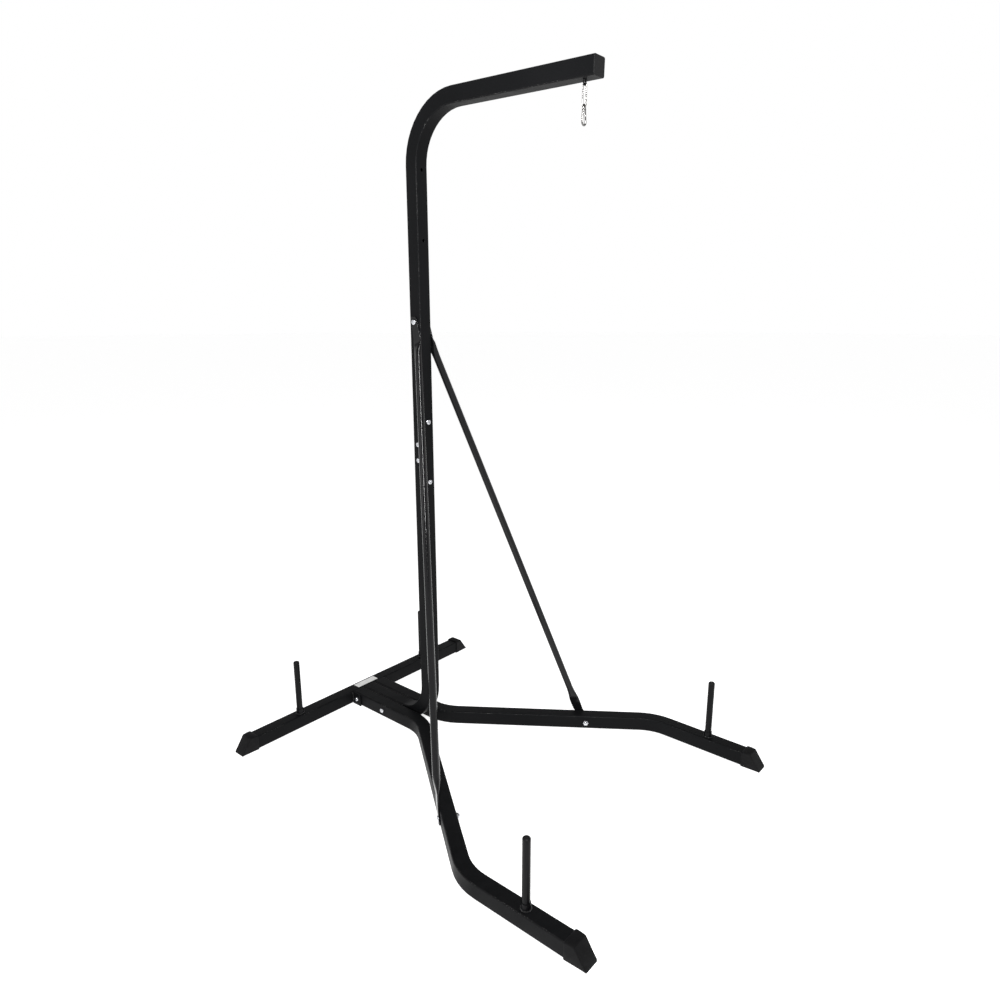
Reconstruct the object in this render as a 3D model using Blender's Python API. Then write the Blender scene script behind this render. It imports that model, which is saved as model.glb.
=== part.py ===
"""Free-standing heavy-bag stand: a bolted steel tube frame with a hanging hook.

Metres, +Z up, -Y is the front (the side that the arm reaches over). The floor
is z = 0 and the origin is the middle of the footprint. Left is -X.
"""

import math

import bmesh
import bpy
from mathutils import Matrix, Vector

# ---------------------------------------------------------------- dimensions
GAP = 0.0003                 # air left between pieces that touch

TUBE = 0.052                 # outer width of every square tube
WALL = 0.002
TUBE_CORNER = 0.005          # outer corner radius of the square tubes
HALF = TUBE / 2
FLOOR_CLEARANCE = 0.002      # rubber under the bottom tubes
BASE_Z = FLOOR_CLEARANCE + HALF

CAP_LENGTH = 0.069           # rubber end cap, root to toe
CAP_OVERLAP = 0.020          # how far a tube goes into its cap
CAP_ROOT_HALF = 0.0297       # half width where the cap starts
CAP_TOE_HALF = 0.0265
CAP_TOP = 0.0584             # highest point of a cap above the floor

LEG_REACH = 1.133            # mast axis to the toe of a leg cap
CROSSBAR_BACK = 0.4032       # mast axis to the rear crossbar's axis
CROSSBAR_HALF_SPAN = 0.612   # middle to the toe of a crossbar cap

# the footprint's middle is the origin, so the mast stands behind it
MAST_Y = (LEG_REACH - CROSSBAR_BACK - CAP_ROOT_HALF) / 2
CROSSBAR_Y = MAST_Y + CROSSBAR_BACK
CROSSBAR_FRONT_Y = CROSSBAR_Y - HALF
LEG_TOE_Y = MAST_Y - LEG_REACH
LEG_CAP_ROOT_Y = LEG_TOE_Y + CAP_LENGTH
CROSSBAR_CAP_ROOT_X = CROSSBAR_HALF_SPAN - CAP_LENGTH

ARM_TOP_Z = 2.289            # top of the arm, carried back to the mast axis
ARM_REACH = 0.7136           # mast axis to the arm's front end
ARM_DROOP = math.radians(1.5)
UPPER_BEND_RADIUS = 0.182    # centre line of the bend at the top
LOWER_BEND_RADIUS = 0.145    # centre line of the bend at the bottom
JOINT_Z = 1.113              # where the upper and lower mast butt together
SLEEVE_LENGTH = 0.300
FRONT_BOLT_OFFSET = 0.110    # joint to the bolts through the front face
SIDE_BOLT_OFFSET = 0.029     # joint to the bolts through the side faces
SPARE_HOLE_Z = (2.062, 1.840)
SPARE_HOLE_RADIUS = 0.0055

LEG_REAR_X = 0.058           # leg axis beside the mast foot
LEG_FRONT_X = 0.553          # leg axis at its front end
LEG_REAR_BEND_Y = MAST_Y - 0.0118
LEG_ANGLE = math.radians(36)
LEG_BEND_RADIUS = 0.180

PACKER_FRONT_Y = MAST_Y + 0.130
EAR_THICKNESS = 0.005
EAR_LENGTH = 0.046
REAR_BOLT_Y = CROSSBAR_FRONT_Y - 0.024
MIDDLE_BOLT_Y = MAST_Y + 0.200

BRACE_RADIUS = 0.0127
BRACE_WALL = 0.0015
BRACE_FLAT_HALF_WIDTH = 0.0185
BRACE_FLAT_HALF_THICKNESS = 0.0024
BRACE_TOP_Z = 1.572          # height of the bolt through the mast
BRACE_FOLD_DROP = 0.058      # top bolt down to the fold in the flat
BRACE_FOLD_FORWARD = 0.0135   # how far the fold is in front of the mast axis
BRACE_FOOT_BOLT_Y = MAST_Y - 0.4745
BRACE_FOOT_OFFSET = 0.0290   # how far the axis is behind the foot bolt, 30 mm above it

PEG_RADIUS = 0.0118
PEG_WALL = 0.002
PEG_TOP_Z = 0.277
PEG_COLLAR_RADIUS = 0.0150
PEG_COLLAR_HEIGHT = 0.020
PEG_TIP_HEIGHT = 0.007
LEG_PEG_Y = MAST_Y - 0.9205
CROSSBAR_PEG_X = 0.336

BOLT_RADIUS = 0.0049
BOLT_HOLE_RADIUS = 0.0052
BOLT_HEAD_RADIUS = 0.0095
BOLT_HEAD_HEIGHT = 0.0055
NUT_FLAT_RADIUS = 0.0090
NUT_HEX_HEIGHT = 0.0075
NUT_DOME_HEIGHT = 0.0060
NUT_BORE_DEPTH = 0.0095

EYE_Y = MAST_Y - 0.669
EYE_WIRE = 0.00225           # radius of the rod that the eye is bent from
EYE_BEND = 0.00525           # centre-line radius of the eye's loop
EYE_LEG = 0.0085             # arm underside to the loop's centre
LINK_WIRE = 0.0018
LINK_BEND = 0.0057
LINK_LENGTH = 0.062          # overall
HOOK_WIRE = 0.00265
HOOK_TOP_BEND = 0.0048
HOOK_BOTTOM_BEND = 0.0083
HOOK_LENGTH = 0.0570         # overall
GATE_RADIUS = 0.0024
GATE_PIVOT_DOWN = 0.0060     # along the gate line from its upper end
GATE_NOSE_UP = 0.0040        # along the gate line from its lower end
TONGUE_HALF_THICKNESS = 0.0009
FORK_HALF_SLOT = 0.0013
PIN_RADIUS = 0.0008

CORNER_STEPS = 3
BEND_STEPS_PER_RIGHT_ANGLE = 12
PEG_SIDES = 24

# ---------------------------------------------------------------- materials
MATERIALS = {
    "frame_paint": ((0.022, 0.023, 0.025), 0.42, 0.0),
    "brace_paint": ((0.018, 0.018, 0.019), 0.28, 0.0),
    "rubber": ((0.018, 0.018, 0.019), 0.70, 0.0),
    "plastic": ((0.030, 0.030, 0.032), 0.55, 0.0),
    "zinc_plate": ((0.72, 0.73, 0.74), 0.28, 1.0),
    "chrome": ((0.80, 0.80, 0.81), 0.12, 1.0),
    "bare_steel": ((0.45, 0.45, 0.46), 0.40, 1.0),
}


def material(name):
    """The named Principled material, made the first time it is asked for."""
    if name in bpy.data.materials:
        return bpy.data.materials[name]
    color, roughness, metallic = MATERIALS[name]
    result = bpy.data.materials.new(name)
    result.use_nodes = True
    shader = result.node_tree.nodes["Principled BSDF"]
    shader.inputs["Base Color"].default_value = (*color, 1.0)
    shader.inputs["Roughness"].default_value = roughness
    shader.inputs["Metallic"].default_value = metallic
    return result


# ---------------------------------------------------------------- mesh helpers
def finish_object(name, mesh_builder, material_name, origin=(0.0, 0.0, 0.0)):
    """Turn a bmesh in world coordinates into an object with the given origin."""
    bmesh.ops.recalc_face_normals(mesh_builder, faces=mesh_builder.faces)
    bmesh.ops.translate(mesh_builder, verts=mesh_builder.verts, vec=-Vector(origin))
    mesh = bpy.data.meshes.new(name)
    mesh_builder.to_mesh(mesh)
    mesh_builder.free()
    mesh.materials.append(material(material_name))
    mesh.shade_smooth()
    mesh.set_sharp_from_angle(angle=math.radians(40))
    result = bpy.data.objects.new(name, mesh)
    result.location = origin
    bpy.context.scene.collection.objects.link(result)
    return result


def rounded_rectangle(half_width, half_height, corner, steps=CORNER_STEPS):
    """Outline points of a rectangle with round corners, anticlockwise."""
    points = []
    centres = ((1, 1), (-1, 1), (-1, -1), (1, -1))
    for quarter, (sign_x, sign_y) in enumerate(centres):
        for step in range(steps + 1):
            angle = math.pi / 2 * (quarter + step / steps)
            x = sign_x * (half_width - corner) + corner * math.cos(angle)
            y = sign_y * (half_height - corner) + corner * math.sin(angle)
            points.append((x, y))
    return points


def circle(radius, count=12):
    """Outline points of a circle."""
    turn = 2 * math.pi / count
    return [(radius * math.cos(turn * i), radius * math.sin(turn * i)) for i in range(count)]


def filleted_path(corners, radii):
    """Points and directions along straight runs joined by arcs.

    corners are the path's end points and the points where the straight runs
    would meet; radii has one bend radius for each inner corner.
    """
    corners = [Vector(corner) for corner in corners]
    points = [corners[0]]
    directions = [(corners[1] - corners[0]).normalized()]
    for index, radius in enumerate(radii, start=1):
        before = (corners[index] - corners[index - 1]).normalized()
        after = (corners[index + 1] - corners[index]).normalized()
        turn = before.angle(after)
        start = corners[index] - before * radius * math.tan(turn / 2)
        inward = (after - before * before.dot(after)).normalized()
        centre = start + inward * radius
        steps = max(2, round(BEND_STEPS_PER_RIGHT_ANGLE * turn / (math.pi / 2)))
        for step in range(steps + 1):
            angle = turn * step / steps
            offset = before * math.sin(angle) - inward * math.cos(angle)
            points.append(centre + offset * radius)
            directions.append(before * math.cos(angle) + inward * math.sin(angle))
    points.append(corners[-1])
    directions.append((corners[-1] - corners[-2]).normalized())
    return points, directions


def ring_at(builder, outline, origin, across, upward):
    """One ring of vertices: the outline laid at origin in a given plane."""
    return [builder.verts.new(origin + across * x + upward * y) for x, y in outline]


def bridge(builder, first, second):
    """Quads between two rings of equal length."""
    count = len(first)
    for i in range(count):
        j = (i + 1) % count
        builder.faces.new((first[i], first[j], second[j], second[i]))


def loft(builder, rings, closed=False):
    """Skin a list of rings; the ends are filled unless the loft is closed."""
    for first, second in zip(rings, rings[1:]):
        bridge(builder, first, second)
    if closed:
        bridge(builder, rings[-1], rings[0])
    else:
        builder.faces.new(rings[0])
        builder.faces.new(rings[-1])


def hollow_loft(builder, outer_rings, inner_rings):
    """Skin a pipe that is open at both ends."""
    for rings in (outer_rings, inner_rings):
        for first, second in zip(rings, rings[1:]):
            bridge(builder, first, second)
    bridge(builder, outer_rings[0], inner_rings[0])
    bridge(builder, outer_rings[-1], inner_rings[-1])


def swept_rings(builder, outline, points, directions, side):
    """Rings of one outline along a flat path; side is the path's normal."""
    rings = []
    for point, direction in zip(points, directions):
        upward = side.cross(direction).normalized()
        rings.append(ring_at(builder, outline, point, side, upward))
    return rings


def square_tube(name, corners, radii, side):
    """A bent square tube, open at both ends."""
    points, directions = filleted_path(corners, radii)
    inside = HALF - WALL
    builder = bmesh.new()
    outer = rounded_rectangle(HALF, HALF, TUBE_CORNER)
    inner = rounded_rectangle(inside, inside, TUBE_CORNER - WALL)
    outer_rings = swept_rings(builder, outer, points, directions, side)
    inner_rings = swept_rings(builder, inner, points, directions, side)
    hollow_loft(builder, outer_rings, inner_rings)
    return finish_object(name, builder, "frame_paint")


def rod_rings(builder, radius, points, directions, side, count=8):
    """Rings of a round rod along a flat path."""
    return swept_rings(builder, circle(radius, count), points, directions, side)


def turned(builder, profile, matrix, count=12):
    """Turn a profile of (radius, height) pairs about an axis.

    The profile runs along the axis; a radius of zero closes it to a point.
    """
    rings = []
    for radius, height in profile:
        if radius == 0:
            rings.append([builder.verts.new(matrix @ Vector((0, 0, height)))])
            continue
        ring = [builder.verts.new(matrix @ Vector((x, y, height))) for x, y in circle(radius, count)]
        rings.append(ring)
    for first, second in zip(rings, rings[1:]):
        if len(first) == 1 or len(second) == 1:
            point, ring = (first[0], second) if len(first) == 1 else (second[0], first)
            for i in range(count):
                builder.faces.new((point, ring[i], ring[(i + 1) % count]))
        else:
            bridge(builder, first, second)
    if len(rings[0]) > 1:
        builder.faces.new(rings[0])
    if len(rings[-1]) > 1:
        builder.faces.new(rings[-1])


def dome(base_height, height, radius, steps=3):
    """Profile points of a low dome, from its rim up to its crown."""
    points = []
    for step in range(1, steps + 1):
        angle = math.pi / 2 * step / steps
        x = radius * math.cos(angle) if step < steps else 0
        points.append((x, base_height + height * math.sin(angle)))
    return points


def axis_matrix(origin, direction):
    """A matrix that takes +Z to direction and the origin to origin."""
    rotation = Vector(direction).to_track_quat("Z", "Y").to_matrix().to_4x4()
    return Matrix.Translation(Vector(origin)) @ rotation


def box(builder, low, high):
    """An upright box between two corners."""
    corners = ((low[0], low[1]), (high[0], low[1]), (high[0], high[1]), (low[0], high[1]))
    rings = [[builder.verts.new((x, y, z)) for x, y in corners] for z in (low[2], high[2])]
    loft(builder, rings)


def subtract(target, builder, cutter_name):
    """Cut the bmesh's solids out of an object with a Boolean modifier."""
    cutter = finish_object(cutter_name, builder, "bare_steel")
    cutter.hide_render = True
    cutter.display_type = "WIRE"
    modifier = target.modifiers.new(cutter_name, "BOOLEAN")
    modifier.operation = "DIFFERENCE"
    modifier.solver = "EXACT"
    modifier.object = cutter


def drill(target, holes):
    """Drill round holes: each is (point, direction, radius, half length)."""
    builder = bmesh.new()
    for point, direction, radius, reach in holes:
        turned(builder, [(radius, -reach), (radius, reach)], axis_matrix(point, direction))
    subtract(target, builder, target.name + "_drill")


# ---------------------------------------------------------------- fasteners
def bolt(name, centre, direction, grip):
    """Dome-headed bolt through grip metres, centred, head at +direction."""
    end = -grip / 2 - NUT_BORE_DEPTH + 0.001
    seat = grip / 2 + GAP
    profile = [(BOLT_RADIUS, end), (BOLT_RADIUS, seat), (BOLT_HEAD_RADIUS, seat)]
    profile += [(BOLT_HEAD_RADIUS, seat + 0.0015)]
    profile += dome(seat + 0.0015, BOLT_HEAD_HEIGHT - 0.0015, BOLT_HEAD_RADIUS)
    builder = bmesh.new()
    turned(builder, profile, axis_matrix(centre, direction))
    return finish_object(name, builder, "zinc_plate", centre)


def cap_nut(name, centre, direction, grip):
    """Domed hexagon nut on the far end of the bolt with the same numbers."""
    seat = grip / 2 + GAP
    matrix = axis_matrix(centre, -Vector(direction))
    corner = NUT_FLAT_RADIUS / math.cos(math.pi / 6)
    builder = bmesh.new()
    hexagon = [
        [builder.verts.new(matrix @ Vector((x, y, z))) for x, y in circle(corner, 6)]
        for z in (seat, seat + NUT_HEX_HEIGHT)
    ]
    loft(builder, hexagon)
    nut = finish_object(name, builder, "zinc_plate")
    builder = bmesh.new()
    root = seat + NUT_HEX_HEIGHT - 0.001
    profile = [(NUT_FLAT_RADIUS * 0.9, root), (NUT_FLAT_RADIUS * 0.9, root + 0.001)]
    profile += dome(root + 0.001, NUT_DOME_HEIGHT, NUT_FLAT_RADIUS * 0.9)
    turned(builder, profile, matrix)
    crown = finish_object(name + "_crown", builder, "zinc_plate")
    crown.hide_render = True
    crown.display_type = "WIRE"
    union = nut.modifiers.new("crown", "BOOLEAN")
    union.operation = "UNION"
    union.solver = "EXACT"
    union.object = crown
    builder = bmesh.new()
    turned(builder, [(BOLT_HOLE_RADIUS, 0), (BOLT_HOLE_RADIUS, seat + NUT_BORE_DEPTH)], matrix)
    subtract(nut, builder, name + "_bore")
    return nut


def fasten(name, centre, direction, grip):
    """A bolt and its nut."""
    bolt(name + "_bolt", centre, direction, grip)
    cap_nut(name + "_nut", centre, direction, grip)


# ---------------------------------------------------------------- mast and arm
def arm_point(reach, below_top):
    """A point on the arm at a distance from the mast axis, below its top."""
    direction = Vector((0, -math.cos(ARM_DROOP), -math.sin(ARM_DROOP)))
    down = Vector((0, math.sin(ARM_DROOP), -math.cos(ARM_DROOP)))
    along = reach / math.cos(ARM_DROOP)
    return Vector((0, MAST_Y, ARM_TOP_Z)) + direction * along + down * below_top


def mast_joint_holes():
    """Bolt holes around the mast joint, shared by both tubes and the sleeve."""
    holes = []
    for sign in (1, -1):
        front_z = JOINT_Z + sign * FRONT_BOLT_OFFSET
        side_z = JOINT_Z + sign * SIDE_BOLT_OFFSET
        holes.append(((0, MAST_Y, front_z), (0, -1, 0), BOLT_HOLE_RADIUS, TUBE))
        holes.append(((0, MAST_Y, side_z), (1, 0, 0), BOLT_HOLE_RADIUS, TUBE))
    return holes


def make_upper_mast():
    """Upper post and arm: one tube bent forward over the bag."""
    corner_z = ARM_TOP_Z - HALF / math.cos(ARM_DROOP)
    corners = [(0, MAST_Y, JOINT_Z + GAP / 2), (0, MAST_Y, corner_z), arm_point(ARM_REACH, HALF)]
    tube = square_tube("upper_mast", corners, [UPPER_BEND_RADIUS], Vector((1, 0, 0)))
    holes = [hole for hole in mast_joint_holes() if hole[0][2] > JOINT_Z]
    holes.append(((0, MAST_Y, BRACE_TOP_Z), (1, 0, 0), BOLT_HOLE_RADIUS, TUBE))
    for z in SPARE_HOLE_Z:
        holes.append(((0, MAST_Y - HALF, z), (0, -1, 0), SPARE_HOLE_RADIUS, HALF / 2))
    drill(tube, holes)


def make_lower_mast():
    """Lower post, bent back along the floor into the mast foot."""
    corners = [
        (0, MAST_Y, JOINT_Z - GAP / 2),
        (0, MAST_Y, BASE_Z),
        (0, CROSSBAR_FRONT_Y - GAP, BASE_Z),
    ]
    tube = square_tube("lower_mast", corners, [LOWER_BEND_RADIUS], Vector((1, 0, 0)))
    holes = [hole for hole in mast_joint_holes() if hole[0][2] < JOINT_Z]
    drill(tube, holes + base_bolt_holes())


def make_joint_sleeve():
    """Inner sleeve that joins the two mast tubes."""
    outside = HALF - WALL - GAP
    inside = outside - WALL
    corner = TUBE_CORNER - WALL - GAP
    builder = bmesh.new()
    rings = []
    for half, radius in ((outside, corner), (inside, corner / 2)):
        outline = rounded_rectangle(half, half, radius)
        pair = []
        for sign in (-1, 1):
            origin = Vector((0, MAST_Y, JOINT_Z + sign * SLEEVE_LENGTH / 2))
            pair.append(ring_at(builder, outline, origin, Vector((1, 0, 0)), Vector((0, 1, 0))))
        rings.append(pair)
    hollow_loft(builder, rings[0], rings[1])
    sleeve = finish_object("joint_sleeve", builder, "bare_steel")
    drill(sleeve, mast_joint_holes())


def make_arm_end_plug():
    """Plastic plug: a flange over the arm's end and a hollow spigot inside."""
    direction = Vector((0, -math.cos(ARM_DROOP), -math.sin(ARM_DROOP)))
    upward = Vector((0, -math.sin(ARM_DROOP), math.cos(ARM_DROOP)))
    across = Vector((1, 0, 0))
    end = arm_point(ARM_REACH, HALF)
    spigot = HALF - WALL - GAP
    stations = [
        (0.0030, HALF - 0.0015),
        (0.0015, HALF),
        (GAP, HALF),
        (GAP, spigot),
        (-0.0180, spigot),
        (-0.0180, spigot - WALL),
        (-0.0010, spigot - WALL),
    ]
    builder = bmesh.new()
    rings = []
    for along, half in stations:
        corner = TUBE_CORNER - (HALF - half)
        outline = rounded_rectangle(half, half, max(corner, 0.0008))
        rings.append(ring_at(builder, outline, end + direction * along, across, upward))
    loft(builder, rings)
    finish_object("arm_end_plug", builder, "plastic")


# ---------------------------------------------------------------- base
def base_bolt_holes():
    """The two cross holes through the mast foot, both legs and the plates."""
    holes = []
    for y in (REAR_BOLT_Y, MIDDLE_BOLT_Y):
        holes.append(((0, y, BASE_Z), (1, 0, 0), BOLT_HOLE_RADIUS, 4 * TUBE))
    return holes


def brace_foot_bolt(side):
    """Middle of the bolt through a leg and its brace, and its direction."""
    forward = LEG_REAR_BEND_Y - BRACE_FOOT_BOLT_Y
    x = LEG_REAR_X + forward * math.tan(LEG_ANGLE)
    normal = Vector((side * math.cos(LEG_ANGLE), math.sin(LEG_ANGLE), 0))
    return Vector((side * x, BRACE_FOOT_BOLT_Y, BASE_Z)), normal


def make_leg(name, side):
    """Leg tube: back beside the mast foot, out at an angle, then forward."""
    front_bend_y = LEG_REAR_BEND_Y - (LEG_FRONT_X - LEG_REAR_X) / math.tan(LEG_ANGLE)
    corners = [
        (side * LEG_REAR_X, CROSSBAR_FRONT_Y - GAP, BASE_Z),
        (side * LEG_REAR_X, LEG_REAR_BEND_Y, BASE_Z),
        (side * LEG_FRONT_X, front_bend_y, BASE_Z),
        (side * LEG_FRONT_X, LEG_CAP_ROOT_Y - CAP_OVERLAP, BASE_Z),
    ]
    leg = square_tube(name, corners, [LEG_BEND_RADIUS] * 2, Vector((0, 0, 1)))
    centre, normal = brace_foot_bolt(side)
    foot_hole = (centre, normal, BOLT_HOLE_RADIUS, TUBE)
    drill(leg, base_bolt_holes() + [foot_hole])


def make_crossbar():
    """Rear crossbar."""
    end = CROSSBAR_CAP_ROOT_X + CAP_OVERLAP
    corners = [(-end, CROSSBAR_Y, BASE_Z), (end, CROSSBAR_Y, BASE_Z)]
    square_tube("rear_crossbar", corners, [], Vector((0, 0, 1)))


def make_ear(name, side):
    """Plate on the crossbar's front that grips the outside of a leg."""
    inner = LEG_REAR_X + HALF + GAP
    xs = sorted((side * inner, side * (inner + EAR_THICKNESS)))
    rear = CROSSBAR_FRONT_Y - GAP
    builder = bmesh.new()
    low = (xs[0], rear - EAR_LENGTH, 0.0010)
    box(builder, low, (xs[1], rear, FLOOR_CLEARANCE + TUBE - 0.001))
    ear = finish_object(name, builder, "frame_paint")
    hole = ((0, REAR_BOLT_Y, BASE_Z), (1, 0, 0), BOLT_HOLE_RADIUS, 4 * TUBE)
    drill(ear, [hole])


def make_packer(name, side):
    """Packing plate between the mast foot and a leg."""
    xs = sorted((side * (HALF + GAP), side * (LEG_REAR_X - HALF - GAP)))
    builder = bmesh.new()
    low = (xs[0], PACKER_FRONT_Y, FLOOR_CLEARANCE)
    box(builder, low, (xs[1], CROSSBAR_FRONT_Y - GAP, FLOOR_CLEARANCE + TUBE - 0.0006))
    packer = finish_object(name, builder, "frame_paint")
    drill(packer, base_bolt_holes())


def cap_rings(builder, matrix):
    """Rings of an end cap: u runs from the root (0) to the toe."""
    slope_start = 0.024
    stations = (0.0, 0.003, 0.012, 0.020, 0.026, 0.036, 0.050, CAP_LENGTH - 0.003, CAP_LENGTH)
    rings = []
    for u in stations:
        share = u / CAP_LENGTH
        half = CAP_ROOT_HALF + (CAP_TOE_HALF - CAP_ROOT_HALF) * share
        slope = max(0.0, u - slope_start) / (CAP_LENGTH - slope_start)
        top = CAP_TOP - (CAP_TOP - 0.004) * slope
        if u == 0.0:
            half -= 0.0012
            top -= 0.0015
        if u == 0.020:
            top -= 0.0006
        if u == CAP_LENGTH:
            half -= 0.003
            top = 0.0025
        corner = min(0.005, top * 0.3)
        outline = rounded_rectangle(half, top / 2, corner)
        rings.append([builder.verts.new(matrix @ Vector((u, x, z + top / 2))) for x, z in outline])
    return rings


def make_end_cap(name, origin, heading):
    """Rubber cap pushed over the end of a floor tube."""
    matrix = Matrix.Translation(Vector(origin)) @ Matrix.Rotation(heading, 4, "Z")
    builder = bmesh.new()
    loft(builder, cap_rings(builder, matrix))
    cap = finish_object(name, builder, "rubber")
    builder = bmesh.new()
    pocket = rounded_rectangle(HALF + GAP, HALF + GAP, TUBE_CORNER)
    rings = []
    for u in (-0.010, CAP_OVERLAP + GAP):
        rings.append([builder.verts.new(matrix @ Vector((u, x, z + BASE_Z))) for x, z in pocket])
    loft(builder, rings)
    subtract(cap, builder, name + "_pocket")


def brace_stations(side):
    """Leg direction, and places along a brace: (point, width share, roundness)."""
    top_x = HALF + GAP + BRACE_FLAT_HALF_THICKNESS
    bend = Vector((side * top_x, MAST_Y - BRACE_FOLD_FORWARD, BRACE_TOP_Z - BRACE_FOLD_DROP))
    bolt = Vector((side * top_x, MAST_Y, BRACE_TOP_Z))
    upward = (bolt - bend) / BRACE_FOLD_DROP
    leg_centre, normal = brace_foot_bolt(side)
    forward = Vector((side * math.sin(LEG_ANGLE), -math.cos(LEG_ANGLE), 0))
    flat = leg_centre + normal * (HALF + GAP + BRACE_FLAT_HALF_THICKNESS)
    foot = flat - forward * BRACE_FOOT_OFFSET + Vector((0, 0, 0.030))
    axis = (foot - bend).normalized()
    length = (foot - bend).length
    return forward, [
        (bolt + upward * 0.018, 0.50, 0.0),
        (bolt + upward * 0.009, 0.76, 0.0),
        (bolt - upward * 0.025, 0.86, 0.0),
        (bend, 1.0, 0.0),
        (bend + axis * 0.018, 0.98, 0.25),
        (bend + axis * 0.042, 0.78, 0.78),
        (bend + axis * 0.066, BRACE_RADIUS / BRACE_FLAT_HALF_WIDTH, 1.0),
        (bend + axis * (length - 0.100), BRACE_RADIUS / BRACE_FLAT_HALF_WIDTH, 1.0),
        (bend + axis * (length - 0.078), 0.78, 0.85),
        (bend + axis * (length - 0.052), 0.98, 0.30),
        (bend + axis * (length - 0.035), 1.0, 0.0),
        (foot, 1.0, 0.0),
        (flat - forward * 0.004 - Vector((0, 0, 0.009)), 0.90, 0.0),
        (flat - forward * 0.001 - Vector((0, 0, 0.018)), 0.55, 0.0),
    ]


def make_brace(name, side):
    """Round brace with flattened ends, from the mast side to a leg side."""
    forward, stations = brace_stations(side)
    top_wide = Vector((0, 1, 0))
    foot_wide = -forward
    last = len(stations) - 1
    builder = bmesh.new()
    outer_rings = []
    inner_rings = []
    for index, (point, width_share, roundness) in enumerate(stations):
        wide = top_wide.lerp(foot_wide, min(1.0, max(0.0, (index - 3) / (last - 6))))
        before = stations[max(index - 1, 0)][0]
        after = stations[min(index + 1, last)][0]
        direction = (after - before).normalized()
        if 3 < index < last - 2:
            wide = (wide - direction * wide.dot(direction)).normalized()
        else:
            direction = (direction - wide * direction.dot(wide)).normalized()
        thick = direction.cross(wide)
        half_wide = BRACE_FLAT_HALF_WIDTH * width_share
        half_thick = BRACE_FLAT_HALF_THICKNESS
        half_thick += (BRACE_RADIUS - BRACE_FLAT_HALF_THICKNESS) * roundness
        for rings, inset in ((outer_rings, 0.0), (inner_rings, BRACE_WALL)):
            x = half_wide - inset
            y = half_thick - inset
            outline = rounded_rectangle(x, y, min(x, y) * 0.999, steps=4)
            rings.append(ring_at(builder, outline, point, wide, thick))
    hollow_loft(builder, outer_rings, inner_rings)
    brace = finish_object(name, builder, "brace_paint")
    leg_centre, normal = brace_foot_bolt(side)
    top_hole = ((0, MAST_Y, BRACE_TOP_Z), (1, 0, 0), BOLT_HOLE_RADIUS, 2 * TUBE)
    foot_hole = (leg_centre, normal, BOLT_HOLE_RADIUS, TUBE)
    drill(brace, [top_hole, foot_hole])


def make_peg(name, x, y):
    """Weight peg: an upright tube, its collar and its domed tip."""
    floor_z = FLOOR_CLEARANCE + TUBE + GAP
    top_z = PEG_TOP_Z - PEG_TIP_HEIGHT
    builder = bmesh.new()
    rings = []
    for radius in (PEG_RADIUS, PEG_RADIUS - PEG_WALL):
        pair = []
        for z in (floor_z, top_z - GAP):
            pair.append([builder.verts.new((x + a, y + b, z)) for a, b in circle(radius, PEG_SIDES)])
        rings.append(pair)
    hollow_loft(builder, rings[0], rings[1])
    finish_object(name, builder, "frame_paint")

    inner = PEG_RADIUS + GAP
    builder = bmesh.new()
    heights = (floor_z, floor_z + PEG_COLLAR_HEIGHT)
    outer_rings = []
    inner_rings = []
    for z, radius in zip(heights, (PEG_COLLAR_RADIUS, PEG_COLLAR_RADIUS - 0.0012)):
        outer_rings.append([builder.verts.new((x + a, y + b, z)) for a, b in circle(radius, PEG_SIDES)])
        inner_rings.append([builder.verts.new((x + a, y + b, z)) for a, b in circle(inner, PEG_SIDES)])
    hollow_loft(builder, outer_rings, inner_rings)
    finish_object(name + "_collar", builder, "frame_paint")

    spigot = PEG_RADIUS - PEG_WALL - GAP
    builder = bmesh.new()
    profile = [(spigot, top_z - 0.012), (spigot, top_z), (PEG_RADIUS, top_z)]
    profile += dome(top_z, PEG_TIP_HEIGHT, PEG_RADIUS)
    turned(builder, profile, Matrix.Translation((x, y, 0)), count=PEG_SIDES)
    finish_object(name + "_tip", builder, "plastic")


# ---------------------------------------------------------------- hanging hardware
def eye_centre():
    """Centre of the eye's loop under the arm."""
    underside = arm_point(-(EYE_Y - MAST_Y), TUBE)
    return Vector((0, EYE_Y, underside.z - EYE_LEG))


def make_eye():
    """Bent-rod eye under the arm, in the XZ plane."""
    centre = eye_centre()
    top_z = centre.z + EYE_LEG - 0.0016
    points = [Vector((-EYE_BEND, EYE_Y, top_z))]
    directions = [Vector((0, 0, -1))]
    steps = 10
    for step in range(steps + 1):
        angle = math.pi * step / steps
        offset = Vector((-math.cos(angle), 0, -math.sin(angle)))
        points.append(centre + offset * EYE_BEND)
        directions.append(Vector((math.sin(angle), 0, -math.cos(angle))))
    points.append(Vector((EYE_BEND, EYE_Y, top_z)))
    directions.append(Vector((0, 0, 1)))
    builder = bmesh.new()
    loft(builder, rod_rings(builder, EYE_WIRE, points, directions, Vector((0, 1, 0))))
    finish_object("hanging_eye", builder, "frame_paint")


def link_top():
    """Where the link's top bar crosses the eye: the link's hinge point."""
    return eye_centre() - Vector((0, 0, EYE_BEND - EYE_WIRE - LINK_WIRE - GAP))


def link_bottom():
    """Lowest point of the link's centre line."""
    return link_top() - Vector((0, 0, LINK_LENGTH - 2 * LINK_WIRE))


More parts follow.
